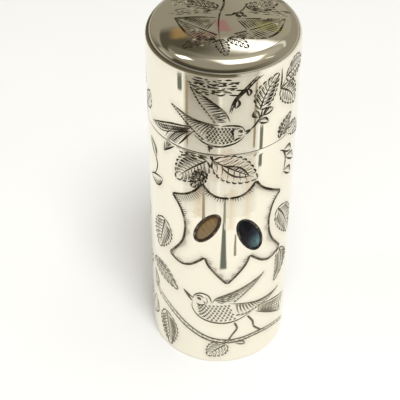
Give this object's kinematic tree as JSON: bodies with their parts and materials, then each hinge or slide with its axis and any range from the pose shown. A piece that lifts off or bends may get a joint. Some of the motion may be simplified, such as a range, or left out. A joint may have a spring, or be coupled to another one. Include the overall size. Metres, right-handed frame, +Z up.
{
  "type": "needle case",
  "caption": "Round metal needle case with a flat base, a push-on domed cap over an inner sleeve, engraved walls and oval stones set in the front.",
  "frame": {"origin": "centre of the underside of the case, on the surface it stands on", "axes": "+Z up along the case's axis towards the cap, -Y the front where the stones are, +X to the viewer's right"},
  "size_m": [0.022, 0.022, 0.0598],
  "materials": {
    "silver_outside": "polished silver with darkened engraving",
    "silver_inside": "softly polished, slightly warm silver",
    "darkened_silver": "oxidised silver, satin",
    "tan_stone": "polished, mottled tan and brown",
    "dark_blue_stone": "polished, near black with a teal patch"
  },
  "bodies": {
    "body": {"body_tube": "silver_outside", "base_disc": "silver_outside", "inner_sleeve": "silver_inside", "stone_rim_left": "darkened_silver", "stone_left": "tan_stone", "stone_rim_right": "darkened_silver", "stone_right": "dark_blue_stone"},
    "cap": {"cap_shell": "silver_outside"}
  },
  "joints": [
    {"name": "cap_lift", "type": "slide", "parent": "body", "child": "cap", "axis": [0, 0, 1], "range_m": [0, 0.03]}
  ]
}
